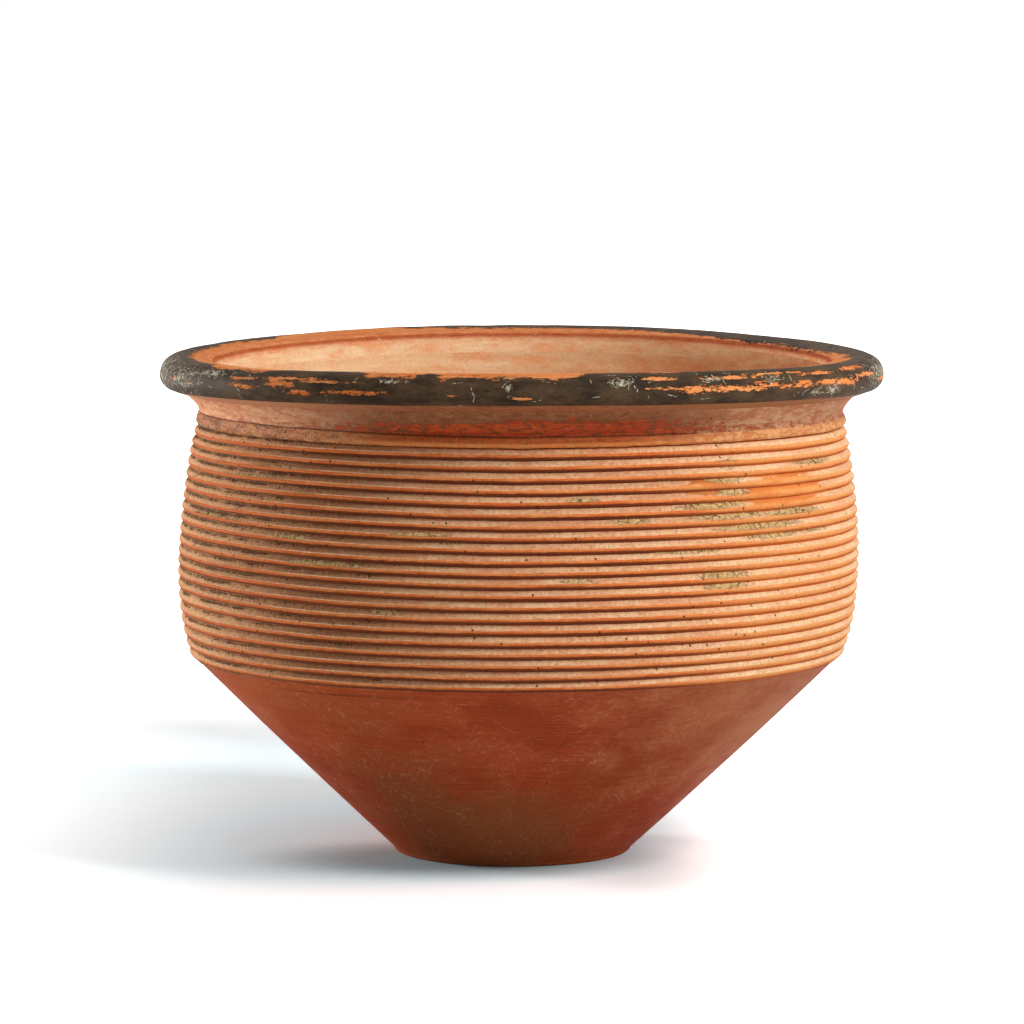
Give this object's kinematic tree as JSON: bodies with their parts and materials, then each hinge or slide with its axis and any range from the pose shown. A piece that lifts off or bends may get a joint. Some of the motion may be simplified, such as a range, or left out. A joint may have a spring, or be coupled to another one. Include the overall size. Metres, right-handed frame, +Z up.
{
  "type": "pottery bowl",
  "caption": "Large deep bowl of red clay with a flat foot, a plain cone below, a belly fluted with fine level ribs, a short neck and a thick everted dark rim.",
  "frame": {"origin": "on the ground under the centre of the rim", "axes": "+Z up through the mouth; the front that the picture shows faces -Y, and the foot stands 4 mm off centre towards -X"},
  "size_m": [0.319, 0.319, 0.2245],
  "materials": {
    "burnished_clay": "burnished red clay, scratched and smoked, half matt",
    "fluted_clay": "matt fluted clay with pale soil on the upper faces of the ribs",
    "neck_clay": "dusty slipped clay with worn burnish",
    "painted_rim": "matt dark paint, flaked down to orange clay, with pale crust"
  },
  "bodies": {
    "root": {"base_disc": "burnished_clay", "cone_coil_1": "burnished_clay", "cone_coil_2": "burnished_clay", "cone_coil_3": "burnished_clay", "cone_coil_4": "burnished_clay", "belly_coil_1": "fluted_clay", "belly_coil_2": "fluted_clay", "belly_coil_3": "fluted_clay", "belly_coil_4": "fluted_clay", "belly_coil_5": "fluted_clay", "neck_collar": "neck_clay", "rim_lip": "painted_rim"}
  },
  "joints": []
}
